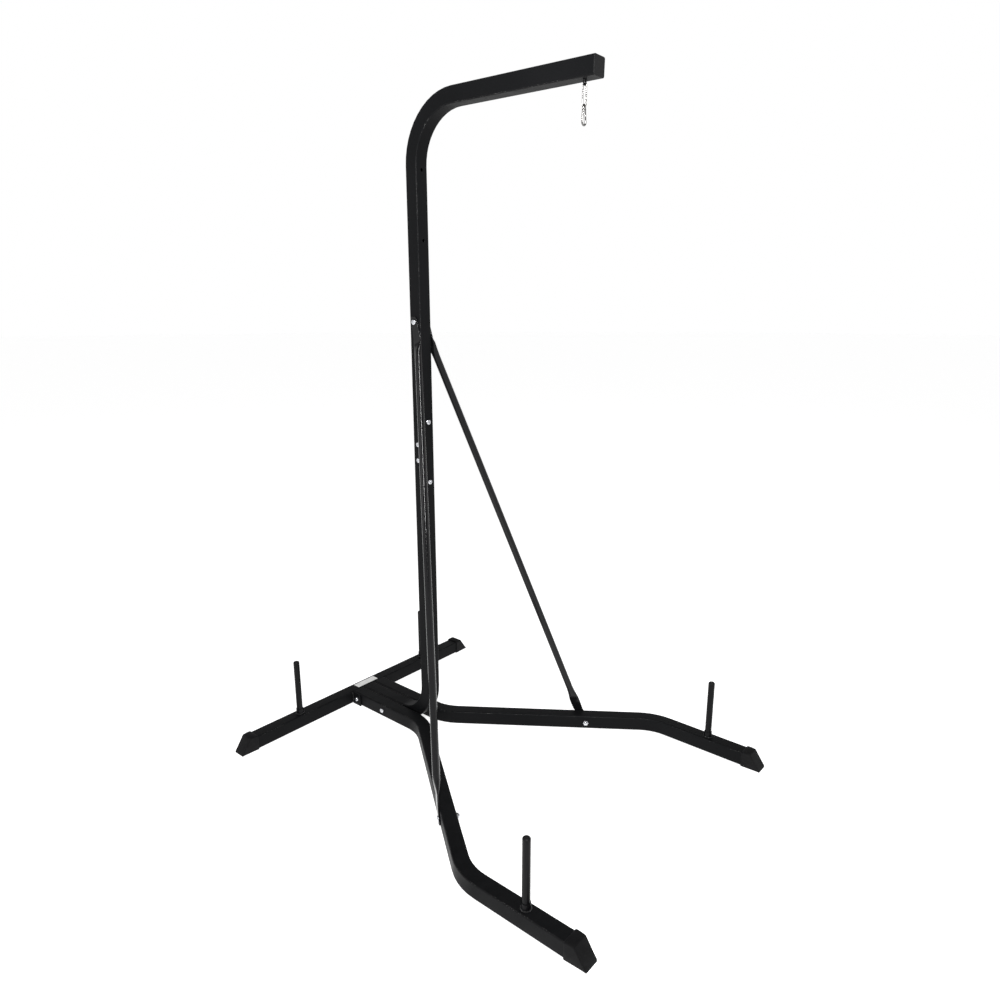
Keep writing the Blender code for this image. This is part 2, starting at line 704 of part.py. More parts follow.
def make_link():
    """Long oval link in the YZ plane; its top bar lies in the eye."""
    top = link_top() - Vector((0, 0, LINK_BEND))
    bottom = link_bottom() + Vector((0, 0, LINK_BEND))
    points = []
    directions = []
    steps = 8
    for centre, start in ((top, 0.0), (bottom, math.pi)):
        for step in range(steps + 1):
            angle = start + math.pi * step / steps
            points.append(centre + Vector((0, math.cos(angle), math.sin(angle))) * LINK_BEND)
            directions.append(Vector((0, -math.sin(angle), math.cos(angle))))
    builder = bmesh.new()
    rings = rod_rings(builder, LINK_WIRE, points, directions, Vector((1, 0, 0)))
    loft(builder, rings, closed=True)
    finish_object("hanging_link", builder, "chrome", link_top())


def hook_top():
    """Where the hook's top bar crosses the link: the hook's hinge point."""
    return link_bottom() + Vector((0, 0, LINK_WIRE + HOOK_WIRE + GAP))


def hook_centres():
    """Centres of the hook's upper and lower bends."""
    upper = hook_top() - Vector((0, 0, HOOK_TOP_BEND))
    lower = hook_top() - Vector((0, 0, HOOK_LENGTH - 2 * HOOK_WIRE - HOOK_BOTTOM_BEND))
    return upper, lower


def hook_flare():
    """Angle by which the hook's sides spread from its small bend to its large one."""
    upper, lower = hook_centres()
    return math.asin((HOOK_BOTTOM_BEND - HOOK_TOP_BEND) / (upper - lower).length)


def gate_line():
    """Ends of the straight run on the gate's side, top first."""
    upper, lower = hook_centres()
    outward = Vector((math.cos(hook_flare()), 0, math.sin(hook_flare())))
    return upper + outward * HOOK_TOP_BEND, lower + outward * HOOK_BOTTOM_BEND


def gate_pivot():
    """Point on the gate's hinge axis."""
    start, end = gate_line()
    return start + (end - start).normalized() * GATE_PIVOT_DOWN


def hook_path():
    """The hook's open centre line, from its shoulder round to its nose."""
    upper, lower = hook_centres()
    flare = hook_flare()
    start, end = gate_line()
    down = (end - start).normalized()
    shoulder = start + down * (GATE_PIVOT_DOWN - GATE_RADIUS - 0.0012)
    nose = end - down * GATE_NOSE_UP
    points = [shoulder]
    directions = [-down]
    steps = 8
    for step in range(steps + 1):
        angle = flare + (math.pi - 2 * flare) * step / steps
        points.append(upper + Vector((math.cos(angle), 0, math.sin(angle))) * HOOK_TOP_BEND)
        directions.append(Vector((-math.sin(angle), 0, math.cos(angle))))
    steps = 11
    for step in range(steps + 1):
        angle = math.pi - flare + (math.pi + 2 * flare) * step / steps
        points.append(lower + Vector((math.cos(angle), 0, math.sin(angle))) * HOOK_BOTTOM_BEND)
        directions.append(Vector((-math.sin(angle), 0, math.cos(angle))))
    points.append(nose)
    directions.append(-down)
    return points, directions


def make_hook_body():
    """Snap hook body: a bent rod with a flat tongue for the gate's pin."""
    points, directions = hook_path()
    builder = bmesh.new()
    loft(builder, rod_rings(builder, HOOK_WIRE, points, directions, Vector((0, 1, 0))))
    body = finish_object("snap_hook_body", builder, "chrome", hook_top())
    start, end = gate_line()
    down = (end - start).normalized()
    across = down.cross(Vector((0, 1, 0)))
    pivot = gate_pivot()
    outline = [(-0.0018, 0.0042), (-0.0018, 0.0)]
    for step in range(7):
        angle = math.pi + math.pi * step / 6
        outline.append((0.0018 * math.cos(angle), 0.0018 * math.sin(angle)))
    outline += [(0.0018, 0.0), (0.0018, 0.0042)]
    outline = list(dict.fromkeys((round(x, 7), round(z, 7)) for x, z in outline))
    builder = bmesh.new()
    rings = []
    for y in (-TONGUE_HALF_THICKNESS, TONGUE_HALF_THICKNESS):
        side = Vector((0, y, 0))
        rings.append([builder.verts.new(pivot + side + across * x - down * z) for x, z in outline])
    loft(builder, rings)
    tongue = finish_object("snap_hook_tongue", builder, "chrome")
    tongue.hide_render = True
    tongue.display_type = "WIRE"
    union = body.modifiers.new("tongue", "BOOLEAN")
    union.operation = "UNION"
    union.solver = "EXACT"
    union.object = tongue
    drill(body, [(pivot, (0, 1, 0), PIN_RADIUS + GAP, 0.01)])


def make_gate():
    """Hook gate: a rod with a fork over the tongue and a bore for its spring."""
    start, end = gate_line()
    down = (end - start).normalized()
    across = down.cross(Vector((0, 1, 0)))
    pivot = gate_pivot()
    length = (end - start).length - GATE_PIVOT_DOWN - GATE_NOSE_UP - 0.0005
    stations = ((-0.0022, 0.0012), (-0.0014, 0.0020), (0.0, GATE_RADIUS), (length, GATE_RADIUS))
    builder = bmesh.new()
    rings = []
    for along, radius in stations:
        outline = circle(radius, 10)
        rings.append(ring_at(builder, outline, pivot + down * along, across, Vector((0, 1, 0))))
    loft(builder, rings)
    gate = finish_object("snap_hook_gate", builder, "chrome", pivot)
    builder = bmesh.new()
    rings = []
    for along in (-0.010, 0.0026):
        slot = ((-0.01, -FORK_HALF_SLOT), (0.01, -FORK_HALF_SLOT), (0.01, FORK_HALF_SLOT))
        slot += ((-0.01, FORK_HALF_SLOT),)
        rings.append(ring_at(builder, slot, pivot + down * along, across, Vector((0, 1, 0))))
    loft(builder, rings)
    subtract(gate, builder, "gate_slot")
    holes = [(pivot, (0, 1, 0), PIN_RADIUS + GAP, 0.01)]
    holes.append((pivot + down * 0.0100, down, 0.0014, 0.0080))
    drill(gate, holes)


def make_gate_pin():
    """Rivet pin through the fork and the tongue."""
    pivot = gate_pivot()
    reach = GATE_RADIUS + 0.0002
    head = reach + 0.0005
    profile = [(0.0014, -head), (0.0014, -reach), (PIN_RADIUS, -reach)]
    profile += [(PIN_RADIUS, reach), (0.0014, reach), (0.0014, head)]
    builder = bmesh.new()
    turned(builder, profile, axis_matrix(pivot, (0, 1, 0)), count=8)
    finish_object("gate_pin", builder, "chrome", pivot)


def make_gate_spring():
    """Coil spring in the gate's bore."""
    start, end = gate_line()
    down = (end - start).normalized()
    across = down.cross(Vector((0, 1, 0)))
    coil_radius = 0.00085
    wire = 0.00022
    turns = 7
    steps_per_turn = 8
    length = 0.0130
    first = 0.0036
    builder = bmesh.new()
    rings = []
    total = turns * steps_per_turn
    for step in range(total + 1):
        angle = 2 * math.pi * step / steps_per_turn
        radial = across * math.cos(angle) + Vector((0, 1, 0)) * math.sin(angle)
        along = first + length * step / total
        centre = gate_pivot() + down * along + radial * coil_radius
        rings.append(ring_at(builder, circle(wire, 5), centre, radial, down))
    loft(builder, rings)
    finish_object("gate_spring", builder, "bare_steel")


# ---------------------------------------------------------------- assembly
def make_fasteners():
    """Every bolt with its nut."""
    for label, sign in (("upper", 1), ("lower", -1)):
        front = (0, MAST_Y, JOINT_Z + sign * FRONT_BOLT_OFFSET)
        side = (0, MAST_Y, JOINT_Z + sign * SIDE_BOLT_OFFSET)
        fasten("joint_front_" + label, front, (0, -1, 0), TUBE)
        fasten("joint_side_" + label, side, (-1, 0, 0), TUBE)
    plates = 2 * (2 * BRACE_FLAT_HALF_THICKNESS + GAP)
    fasten("brace_top", (0, MAST_Y, BRACE_TOP_Z), (-1, 0, 0), TUBE + plates)
    for label, sign in (("left", -1), ("right", 1)):
        centre, normal = brace_foot_bolt(sign)
        centre = centre + normal * plates / 4
        fasten("brace_foot_" + label, centre, normal, TUBE + plates / 2)
    stack = 2 * (LEG_REAR_X + HALF)
    fasten("base_middle", (0, MIDDLE_BOLT_Y, BASE_Z), (-1, 0, 0), stack)
    ears = 2 * (EAR_THICKNESS + GAP)
    fasten("base_rear", (0, REAR_BOLT_Y, BASE_Z), (-1, 0, 0), stack + ears)


def main():
    for item in list(bpy.data.objects):
        bpy.data.objects.remove(item, do_unlink=True)
    make_upper_mast()
    make_lower_mast()
    make_joint_sleeve()
    make_arm_end_plug()
    make_crossbar()
    for label, side in (("left", -1), ("right", 1)):
        make_leg("leg_" + label, side)
        make_brace("brace_" + label, side)
        make_ear("crossbar_ear_" + label, side)
        make_packer("foot_packer_" + label, side)
        toe_heading = math.radians(-90)
        make_end_cap("leg_cap_" + label, (side * LEG_FRONT_X, LEG_CAP_ROOT_Y, 0), toe_heading)
        bar_heading = 0.0 if side > 0 else math.pi
        make_end_cap("crossbar_cap_" + label, (side * CROSSBAR_CAP_ROOT_X, CROSSBAR_Y, 0), bar_heading)
        make_peg("front_peg_" + label, side * LEG_FRONT_X, LEG_PEG_Y)
        make_peg("rear_peg_" + label, side * CROSSBAR_PEG_X, CROSSBAR_Y)
    make_eye()
    make_link()
    make_hook_body()
    make_gate()
    make_gate_pin()
    make_gate_spring()
    make_fasteners()


main()
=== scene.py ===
"""Looks of the heavy bag stand: finishes, fasteners, end caps, welds and the hook.

Metres, +Z up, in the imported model's frame. -Y is the front, left is -X.
"""

import math
import random

import bmesh
import bpy
from mathutils import Matrix, Quaternion, Vector


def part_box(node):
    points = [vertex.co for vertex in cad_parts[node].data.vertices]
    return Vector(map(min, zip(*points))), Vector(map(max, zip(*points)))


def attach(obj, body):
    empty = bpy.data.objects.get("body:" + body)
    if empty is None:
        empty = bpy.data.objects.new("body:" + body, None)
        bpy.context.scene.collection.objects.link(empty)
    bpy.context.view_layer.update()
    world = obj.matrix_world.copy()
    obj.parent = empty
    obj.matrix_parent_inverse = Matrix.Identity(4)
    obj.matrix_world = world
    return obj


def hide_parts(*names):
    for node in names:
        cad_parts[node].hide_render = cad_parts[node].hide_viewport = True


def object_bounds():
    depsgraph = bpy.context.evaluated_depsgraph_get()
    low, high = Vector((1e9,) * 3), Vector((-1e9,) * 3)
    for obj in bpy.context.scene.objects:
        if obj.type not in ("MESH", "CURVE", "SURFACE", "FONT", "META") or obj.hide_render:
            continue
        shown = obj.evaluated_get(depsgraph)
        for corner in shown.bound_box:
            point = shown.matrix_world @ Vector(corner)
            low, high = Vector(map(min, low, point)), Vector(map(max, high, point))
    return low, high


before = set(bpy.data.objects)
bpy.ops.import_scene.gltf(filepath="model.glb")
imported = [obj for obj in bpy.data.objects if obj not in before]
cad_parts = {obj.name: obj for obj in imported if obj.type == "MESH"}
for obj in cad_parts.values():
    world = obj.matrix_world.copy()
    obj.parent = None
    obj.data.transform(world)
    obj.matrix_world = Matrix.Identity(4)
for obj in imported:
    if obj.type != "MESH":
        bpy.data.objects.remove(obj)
cad_low, cad_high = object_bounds()

# ---------------------------------------------------------------- driving sizes
WIRE_SIDES = 16              # sides of every bent rod
TURNED_SIDES = 32            # sides of every turned piece
FASTENER_SIDES = 36          # sides of bolts and nuts, a multiple of six for their hexagons

BOLT_RADIUS = 0.0049
BOLT_HEAD_RADIUS = 0.0095
BOLT_HEAD_HEIGHT = 0.0055
NUT_FLATS = 0.0180           # across flats
CAP_TUBE_DEPTH = 0.0203      # how far a tube goes into its end cap
CAP_CLEARANCE = 0.0003       # air between a tube and its cap's pocket
HOOK_BEND_STEP = 0.0035      # the hook's large bend less its small one
GATE_RADIUS = 0.0024
GATE_PIVOT_DOWN = 0.0060     # along the gate line from its upper end
TONGUE_RADIUS = 0.0018       # round end of the tongue that the gate's cheeks straddle

CAMERA_PLACE = Vector((-1.8835, -1.6089, 1.6061))
CAMERA_HEADING = math.radians(40.235)     # from +X towards +Y
CAMERA_PITCH = math.radians(14.368)       # below the horizon
CAMERA_ROLL = math.radians(-0.099)
CAMERA_LENS = 27.05
CAMERA_SHIFT_X = -0.0005
CAMERA_SHIFT_Y = 0.0043

FLOOR_GLOW = 0.80            # the floor is lit from below, like a light table
FLOOR_TUBE_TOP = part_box("rear_crossbar")[1].z
TUBE_HALF = (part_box("upper_mast")[1].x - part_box("upper_mast")[0].x) / 2


# ---------------------------------------------------------------- node helpers
def new_material(name):
    """An empty node material and its Principled shader."""
    material = bpy.data.materials.new(name)
    material.use_nodes = True
    return material, material.node_tree, material.node_tree.nodes["Principled BSDF"]


def add_node(tree, kind, **values):
    """A node with its unlinked inputs and properties set by name."""
    node = tree.nodes.new(kind)
    for key, value in values.items():
        if key in node.inputs:
            node.inputs[key].default_value = value
        else:
            setattr(node, key, value)
    return node


def noise(tree, scale, detail=3.0, stretch=(1, 1, 1)):
    """Noise in object space. stretch squeezes it along an axis."""
    place = add_node(tree, "ShaderNodeTexCoord")
    mapping = add_node(tree, "ShaderNodeMapping", Scale=stretch)
    tree.links.new(place.outputs["Object"], mapping.inputs["Vector"])
    texture = add_node(tree, "ShaderNodeTexNoise", Scale=scale, Detail=detail)
    tree.links.new(mapping.outputs["Vector"], texture.inputs["Vector"])
    return texture.outputs["Fac"]


def ramp(tree, source, *stops):
    """A colour ramp through grey or colour stops: (position, value) each."""
    node = tree.nodes.new("ShaderNodeValToRGB")
    elements = node.color_ramp.elements
    while len(elements) < len(stops):
        elements.new(0.5)
    for element, (position, value) in zip(elements, stops):
        element.position = position
        color = value if isinstance(value, tuple) else (value, value, value)
        element.color = (*color, 1.0)
    tree.links.new(source, node.inputs["Fac"])
    return node.outputs["Color"]


def mix_color(tree, share, first, second):
    """Blend of two colours or colour sockets."""
    node = tree.nodes.new("ShaderNodeMix")
    node.data_type = "RGBA"
    for socket, value in ((0, share), (6, first), (7, second)):
        if isinstance(value, bpy.types.NodeSocket):
            tree.links.new(value, node.inputs[socket])
        elif isinstance(value, tuple):
            node.inputs[socket].default_value = (*value, 1.0)
        else:
            node.inputs[socket].default_value = value
    return node.outputs[2]


def math_node(tree, operation, first, second=0.0, third=0.0):
    """One Math node with sockets or numbers as inputs."""
    node = tree.nodes.new("ShaderNodeMath")
    node.operation = operation
    for index, value in enumerate((first, second, third)):
        if isinstance(value, bpy.types.NodeSocket):
            tree.links.new(value, node.inputs[index])
        else:
            node.inputs[index].default_value = value
    return node.outputs[0]


def bump(tree, shader, height, strength, distance, before=None):
    """Adds a bump to the shader's normal, on top of an earlier one."""
    node = add_node(tree, "ShaderNodeBump", Strength=strength, Distance=distance)
    tree.links.new(height, node.inputs["Height"])
    if before is not None:
        tree.links.new(before, node.inputs["Normal"])
    tree.links.new(node.outputs["Normal"], shader.inputs["Normal"])
    return node.outputs["Normal"]


def split_place(tree, kind):
    """X, Y and Z sockets of one output of a Texture Coordinate node."""
    place = add_node(tree, "ShaderNodeTexCoord")
    split = tree.nodes.new("ShaderNodeSeparateXYZ")
    tree.links.new(place.outputs[kind], split.inputs["Vector"])
    return split.outputs


def normal_part(tree, axis):
    """How far the surface faces along one axis of the object, 0 to 1."""
    return math_node(tree, "ABSOLUTE", split_place(tree, "Normal")[axis])


def facing_up(tree):
    """1 on level tops, 0 on upright and lower faces."""
    return math_node(tree, "MAXIMUM", split_place(tree, "Normal")["Z"], 0.0)


# ---------------------------------------------------------------- finishes
def powder_coat(name, corner_axis):
    """Satin black powder coat on square tube, thin and flecked on its corners.

    corner_axis is the axis that the tube's bends lie square to, so that the
    rounded corners are where the surface faces neither along nor across it.
    """
    material, tree, shader = new_material(name)
    broad = noise(tree, 2.4, 4.0)
    base = ramp(tree, broad, (0.30, (0.0034, 0.0036, 0.0040)), (0.70, (0.0058, 0.0060, 0.0066)))
    patchy = ramp(tree, noise(tree, 38, 6), (0.35, 0.25), (0.75, 1.0))
    dust = math_node(tree, "MULTIPLY", facing_up(tree), patchy)
    base = mix_color(tree, math_node(tree, "MULTIPLY", dust, 0.06), base, (0.040, 0.041, 0.044))
    corner = ramp(
        tree, normal_part(tree, corner_axis), (0.10, 0.0), (0.50, 1.0), (0.86, 1.0), (0.985, 0.0)
    )
    flecks = ramp(tree, noise(tree, 420, 2), (0.60, 0.0), (0.68, 1.0))
    patches = ramp(tree, noise(tree, 16, 3), (0.45, 0.0), (0.62, 1.0))
    worn = math_node(tree, "MULTIPLY", math_node(tree, "MULTIPLY", flecks, patches), corner)
    base = mix_color(tree, math_node(tree, "MULTIPLY", corner, 0.15), base, (0.022, 0.022, 0.023))
    base = mix_color(tree, math_node(tree, "MULTIPLY", worn, 0.75), base, (0.16, 0.16, 0.155))
    tree.links.new(base, shader.inputs["Base Color"])
    smudge = ramp(tree, noise(tree, 9, 5), (0.30, 0.40), (0.70, 0.54))
    rough = math_node(tree, "SUBTRACT", smudge, math_node(tree, "MULTIPLY", corner, 0.10))
    tree.links.new(rough, shader.inputs["Roughness"])
    shader.inputs["Specular IOR Level"].default_value = 0.055
    peel = bump(tree, shader, noise(tree, 620, 2), 0.22, 0.0004)
    bump(tree, shader, noise(tree, 90, 3), 0.10, 0.0010, peel)
    return material


def round_coat(name, shine, rough_low, rough_high):
    """Smooth black coat on the round braces and pegs."""
    material, tree, shader = new_material(name)
    base = ramp(
        tree, noise(tree, 5, 4), (0.3, (0.0030, 0.0030, 0.0034)), (0.7, (0.0050, 0.0050, 0.0056))
    )
    streaks = ramp(tree, noise(tree, 160, 4, (1, 1, 0.06)), (0.52, 0.0), (0.78, 1.0))
    base = mix_color(tree, math_node(tree, "MULTIPLY", streaks, 0.07), base, (0.030, 0.030, 0.031))
    tree.links.new(base, shader.inputs["Base Color"])
    rough = ramp(tree, noise(tree, 14, 5, (1, 1, 0.25)), (0.30, rough_low), (0.72, rough_high))
    tree.links.new(rough, shader.inputs["Roughness"])
    shader.inputs["Specular IOR Level"].default_value = shine
    bump(tree, shader, noise(tree, 420, 2), 0.06, 0.0004)
    return material


def moulded_rubber():
    """Matte black rubber of the end caps, with a fine spark-eroded grain."""
    material, tree, shader = new_material("moulded_rubber")
    base = ramp(
        tree, noise(tree, 14, 4), (0.3, (0.0050, 0.0050, 0.0054)), (0.7, (0.0088, 0.0088, 0.0093))
    )
    scuffs = ramp(tree, noise(tree, 60, 6, (1, 1, 3)), (0.58, 0.0), (0.72, 1.0))
    base = mix_color(tree, math_node(tree, "MULTIPLY", scuffs, 0.12), base, (0.045, 0.044, 0.043))
    tree.links.new(base, shader.inputs["Base Color"])
    rough = ramp(tree, noise(tree, 30, 5), (0.3, 0.52), (0.7, 0.68))
    tree.links.new(rough, shader.inputs["Roughness"])
    shader.inputs["Specular IOR Level"].default_value = 0.08
    grain = bump(tree, shader, noise(tree, 1500, 2), 0.30, 0.0003)
    bump(tree, shader, noise(tree, 130, 3), 0.10, 0.0008, grain)
    return material


def moulded_plastic():
    """Black plastic of the peg tips and the arm's plug."""
    material, tree, shader = new_material("moulded_plastic")
    base = ramp(
        tree, noise(tree, 20, 4), (0.3, (0.0055, 0.0055, 0.0059)), (0.7, (0.0095, 0.0095, 0.0100))
    )
    tree.links.new(base, shader.inputs["Base Color"])
    rough = ramp(tree, noise(tree, 40, 4), (0.3, 0.40), (0.7, 0.54))
    tree.links.new(rough, shader.inputs["Roughness"])
    shader.inputs["Specular IOR Level"].default_value = 0.12
    bump(tree, shader, noise(tree, 900, 2), 0.16, 0.0003)
    return material


def plated(name, light, dark, rough_low, rough_high):
    """Bright plated steel with faint clouding and fine scratches."""
    material, tree, shader = new_material(name)
    base = ramp(tree, noise(tree, 210, 4), (0.35, dark), (0.65, light))
    tree.links.new(base, shader.inputs["Base Color"])
    rough = ramp(tree, noise(tree, 320, 5), (0.30, rough_low), (0.70, rough_high))
    tree.links.new(rough, shader.inputs["Roughness"])
    shader.inputs["Metallic"].default_value = 1.0
    scratches = noise(tree, 900, 3, (1, 1, 0.15))
    bump(tree, shader, scratches, 0.03, 0.0002)
    return material


def blank_vinyl():
    """White vinyl of the blank label."""
    material, tree, shader = new_material("blank_vinyl")
    base = ramp(tree, noise(tree, 60, 4), (0.3, (0.80, 0.80, 0.79)), (0.7, (0.88, 0.88, 0.87)))
    tree.links.new(base, shader.inputs["Base Color"])
    rough = ramp(tree, noise(tree, 90, 4), (0.3, 0.38), (0.7, 0.52))
    tree.links.new(rough, shader.inputs["Roughness"])
    bump(tree, shader, noise(tree, 300, 2), 0.08, 0.0003)
    return material


def weld_coat():
    """Powder coat over a weld bead: thicker, glossier, with a rippled surface."""
    material, tree, shader = new_material("weld_coat")
    base = ramp(
        tree, noise(tree, 180, 4), (0.3, (0.0070, 0.0070, 0.0075)), (0.7, (0.0150, 0.0150, 0.0155))
    )
    tree.links.new(base, shader.inputs["Base Color"])
    rough = ramp(tree, noise(tree, 200, 4), (0.3, 0.26), (0.7, 0.42))
    tree.links.new(rough, shader.inputs["Roughness"])
    shader.inputs["Specular IOR Level"].default_value = 0.45
    bump(tree, shader, noise(tree, 500, 3), 0.35, 0.0006)
    return material


FINISHES = {
    "upright_coat": powder_coat("upright_coat", "X"),
    "floor_coat": powder_coat("floor_coat", "Z"),
    "brace_coat": round_coat("brace_coat", 0.24, 0.11, 0.18),
    "peg_coat": round_coat("peg_coat", 0.10, 0.24, 0.34),
    "rubber": moulded_rubber(),
    "plastic": moulded_plastic(),
    "weld": weld_coat(),
    "zinc": plated("bright_zinc", (0.70, 0.71, 0.73), (0.54, 0.55, 0.58), 0.14, 0.28),
    "nickel": plated("bright_nickel", (0.24, 0.236, 0.228), (0.18, 0.177, 0.171), 0.10, 0.18),
    "steel": plated("plain_steel", (0.46, 0.46, 0.47), (0.36, 0.36, 0.37), 0.34, 0.50),
    "vinyl": blank_vinyl(),
}


# ---------------------------------------------------------------- mesh helpers
def make_piece(name, builder, finish, body, sharp_degrees=38):
    """A finished piece from a bmesh in frame coordinates."""
    bmesh.ops.recalc_face_normals(builder, faces=builder.faces)
    mesh = bpy.data.meshes.new(name)
    builder.to_mesh(mesh)
    builder.free()
    mesh.materials.append(FINISHES[finish])
    mesh.shade_smooth()
    mesh.set_sharp_from_angle(angle=math.radians(sharp_degrees))
    piece = bpy.data.objects.new(name, mesh)
    bpy.context.scene.collection.objects.link(piece)
    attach(piece, body)
    return piece


def circle(radius, count):
    """Points of a circle."""
    turn = 2 * math.pi / count
    return [(radius * math.cos(turn * i), radius * math.sin(turn * i)) for i in range(count)]


def hexagon(across_flats, count):
    """Points of a hexagon, evenly placed so that it can join a circle."""
    flat = math.pi / 3
    points = []
    for i in range(count):
        angle = 2 * math.pi * i / count
        radius = across_flats / 2 / math.cos((angle % flat) - flat / 2)
        points.append((radius * math.cos(angle), radius * math.sin(angle)))
    return points


def bridge(builder, first, second):
    """Quads between two rings of equal length."""
    count = len(first)
    for i in range(count):
        j = (i + 1) % count
        builder.faces.new((first[i], first[j], second[j], second[i]))


def skin(builder, rings, closed=False):
    """A solid through the rings, with its ends filled unless it is closed."""
    for first, second in zip(rings, rings[1:]):
        bridge(builder, first, second)
    if closed:
        bridge(builder, rings[-1], rings[0])
        return
    builder.faces.new(rings[0])
    builder.faces.new(rings[-1])


def turned_rings(builder, matrix, outlines):
    """Rings for (outline, height) pairs along the matrix's Z axis."""
    rings = []
    for outline, height in outlines:
        rings.append([builder.verts.new(matrix @ Vector((x, y, height))) for x, y in outline])
    return rings


def rounded_rectangle(half_width, half_height, corner, steps=5):
    """Points of a rectangle with round corners."""
    points = []
    for quarter, (sign_x, sign_y) in enumerate(((1, 1), (-1, 1), (-1, -1), (1, -1))):
        for step in range(steps + 1):
            angle = math.pi / 2 * (quarter + step / steps)
            x = sign_x * (half_width - corner) + corner * math.cos(angle)
            y = sign_y * (half_height - corner) + corner * math.sin(angle)
            points.append((x, y))
    return points


def rod(builder, points, side, radius, closed=False, taper=None):
    """A round rod along a flat path whose plane is square to side."""
    count = len(points)
    rings = []
    for i, point in enumerate(points):
        if closed:
            before, after = points[i - 1], points[(i + 1) % count]
        else:
            before, after = points[max(i - 1, 0)], points[min(i + 1, count - 1)]
        direction = (after - before).normalized()
        upward = side.cross(direction).normalized()
        reach = radius * (taper[i] if taper else 1.0)
        ring = [builder.verts.new(point + side * x + upward * y) for x, y in circle(reach, WIRE_SIDES)]
        rings.append(ring)
    skin(builder, rings, closed)


def arc(centre, radius, start, turn, steps, across, upward):
    """Points of an arc in the plane of across and upward."""
    points = []
    for step in range(steps + 1):
        angle = start + turn * step / steps
        points.append(centre + (across * math.cos(angle) + upward * math.sin(angle)) * radius)
    return points


def bead(builder, points, radius, seed):
    """A weld bead: a run of overlapping ripples along a line of points."""
    draw = random.Random(seed)
    for first, second in zip(points, points[1:]):
        direction = (second - first).normalized()
        across = direction.orthogonal().normalized()
        upward = direction.cross(across)
        middle = (first + second) / 2
        length = (second - first).length * 0.62
        size = radius * draw.uniform(0.88, 1.12)
        rings = []
        for share in (-0.92, -0.6, 0.0, 0.6, 0.92):
            reach = size * math.sqrt(1 - share * share)
            centre = middle + direction * length * share
            rings.append([
                builder.verts.new(centre + across * x + upward * y) for x, y in circle(reach, 10)
            ])
        skin(builder, rings)


# ---------------------------------------------------------------- CAD nodes kept
def dress(node, finish):
    """Gives a CAD node smooth, correctly weighted shading and its finish."""
    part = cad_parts[node]
    mesh = part.data
    if "custom_normal" in mesh.attributes:
        mesh.attributes.remove(mesh.attributes["custom_normal"])
    mesh.polygons.foreach_set("use_smooth", [True] * len(mesh.polygons))
    weld = part.modifiers.new("join", "WELD")
    weld.merge_threshold = 0.00001
    split = part.modifiers.new("keep_edges", "EDGE_SPLIT")
    split.split_angle = math.radians(36)
    weighted = part.modifiers.new("flat_faces", "WEIGHTED_NORMAL")
    weighted.keep_sharp = True
    mesh.materials.clear()
    mesh.materials.append(FINISHES[finish])


def dress_frame():
    """Finishes for every CAD node whose shape is kept."""
    kept = {
        "upright_coat": ("upper_mast", "lower_mast"),
        "floor_coat": (
            "leg_left", "leg_right", "rear_crossbar", "crossbar_ear_left", "crossbar_ear_right",
            "foot_packer_left", "foot_packer_right",
        ),
        "brace_coat": ("brace_left", "brace_right"),
        "plastic": ("arm_end_plug",),
        "steel": ("joint_sleeve", "gate_spring"),
    }
    for finish, nodes in kept.items():
        for node in nodes:
            dress(node, finish)
    for place in ("front", "rear"):
        for side in ("left", "right"):
            dress(f"{place}_peg_{side}", "peg_coat")
            dress(f"{place}_peg_{side}_collar", "peg_coat")


# ---------------------------------------------------------------- pegs
def make_peg_tip(node):
    """Domed plastic tip with a small flat crown and a moulding ring."""
    low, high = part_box(node)
    centre = (low + high) / 2
    radius = (high.x - low.x) / 2
    spigot = radius - 0.0024
    seat = high.z - 0.0070
    profile = [(spigot - 0.0006, low.z), (spigot, low.z + 0.0006), (spigot, seat)]
    profile += [(radius - 0.0004, seat), (radius, seat + 0.0004)]
    crown = radius * 0.42
    for step in range(9):
        angle = math.pi / 2 * step / 8
        reach = crown + (radius - crown) * math.cos(angle)
        profile.append((reach, seat + 0.0008 + 0.0060 * math.sin(angle)))
    profile.append((crown * 0.86, high.z - 0.0004))
    outlines = [(circle(reach, TURNED_SIDES), height) for reach, height in profile]
    builder = bmesh.new()
    matrix = Matrix.Translation((centre.x, centre.y, 0))
    skin(builder, turned_rings(builder, matrix, outlines))
    tip = make_piece(node + "_moulded", builder, "plastic", "frame")
    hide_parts(node)


def make_peg_weld(place, side):
    """Weld bead round the foot of a peg's collar."""
    low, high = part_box(f"{place}_peg_{side}_collar")
    centre = (low + high) / 2
    radius = (high.x - low.x) / 2 + 0.0004
    steps = 26
    points = []
    for step in range(steps + 1):
        angle = 2 * math.pi * step / steps
        points.append(Vector((
            centre.x + radius * math.cos(angle),
            centre.y + radius * math.sin(angle),
            FLOOR_TUBE_TOP + 0.0010,
        )))
    builder = bmesh.new()
    bead(builder, points, 0.0021, f"{place}{side}")
    make_piece(f"{place}_peg_{side}_weld", builder, "weld", "frame")


# ---------------------------------------------------------------- end caps
def cap_outline(u, length, root_half, toe_half, top):
    """Cap section at u: (half width, height, corner radius)."""
    share = u / length
    half = root_half + (toe_half - root_half) * share
    crest = 0.45 * length
    if u <= crest:
        rise = math.sin(math.pi * min(1.0, u / crest))
        height = top - 0.0012 + 0.0012 * rise
    else:
        height = top - 0.0012 - (top - 0.0052) * (u - crest) / (length - crest)
    return half, height, min(0.0048, height * 0.34)


